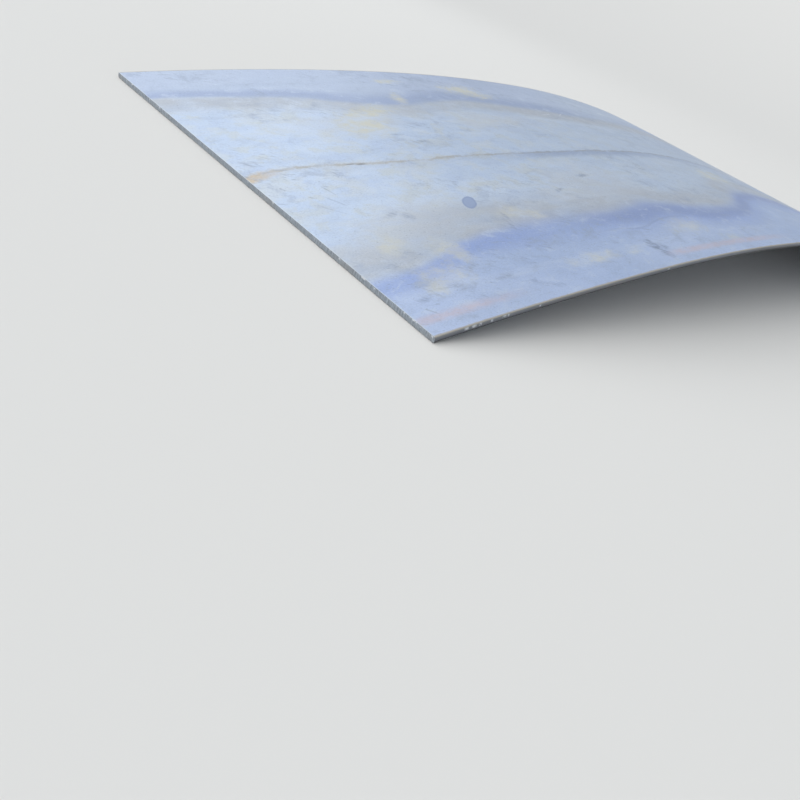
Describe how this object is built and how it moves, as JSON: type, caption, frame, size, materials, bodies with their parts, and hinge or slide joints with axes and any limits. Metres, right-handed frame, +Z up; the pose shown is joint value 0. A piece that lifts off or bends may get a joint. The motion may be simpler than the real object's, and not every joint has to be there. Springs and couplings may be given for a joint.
{
  "type": "steel plate",
  "caption": "Hot-rolled mild steel plate with mill scale, rounded mill edges on its long sides, sheared ends and a lengthwise bow, lying arch up.",
  "frame": {"origin": "centre of the box around the plate, at the floor", "axes": "+X along the rolling direction, from the strongly bowed end to the straight end; +Y across the width; +Z up"},
  "size_m": [5.9642, 1.5, 0.3172],
  "materials": {
    "steel_plate": "pale blue-grey mill scale, satin"
  },
  "bodies": {
    "root": {"steel_plate": "steel_plate"}
  },
  "joints": []
}
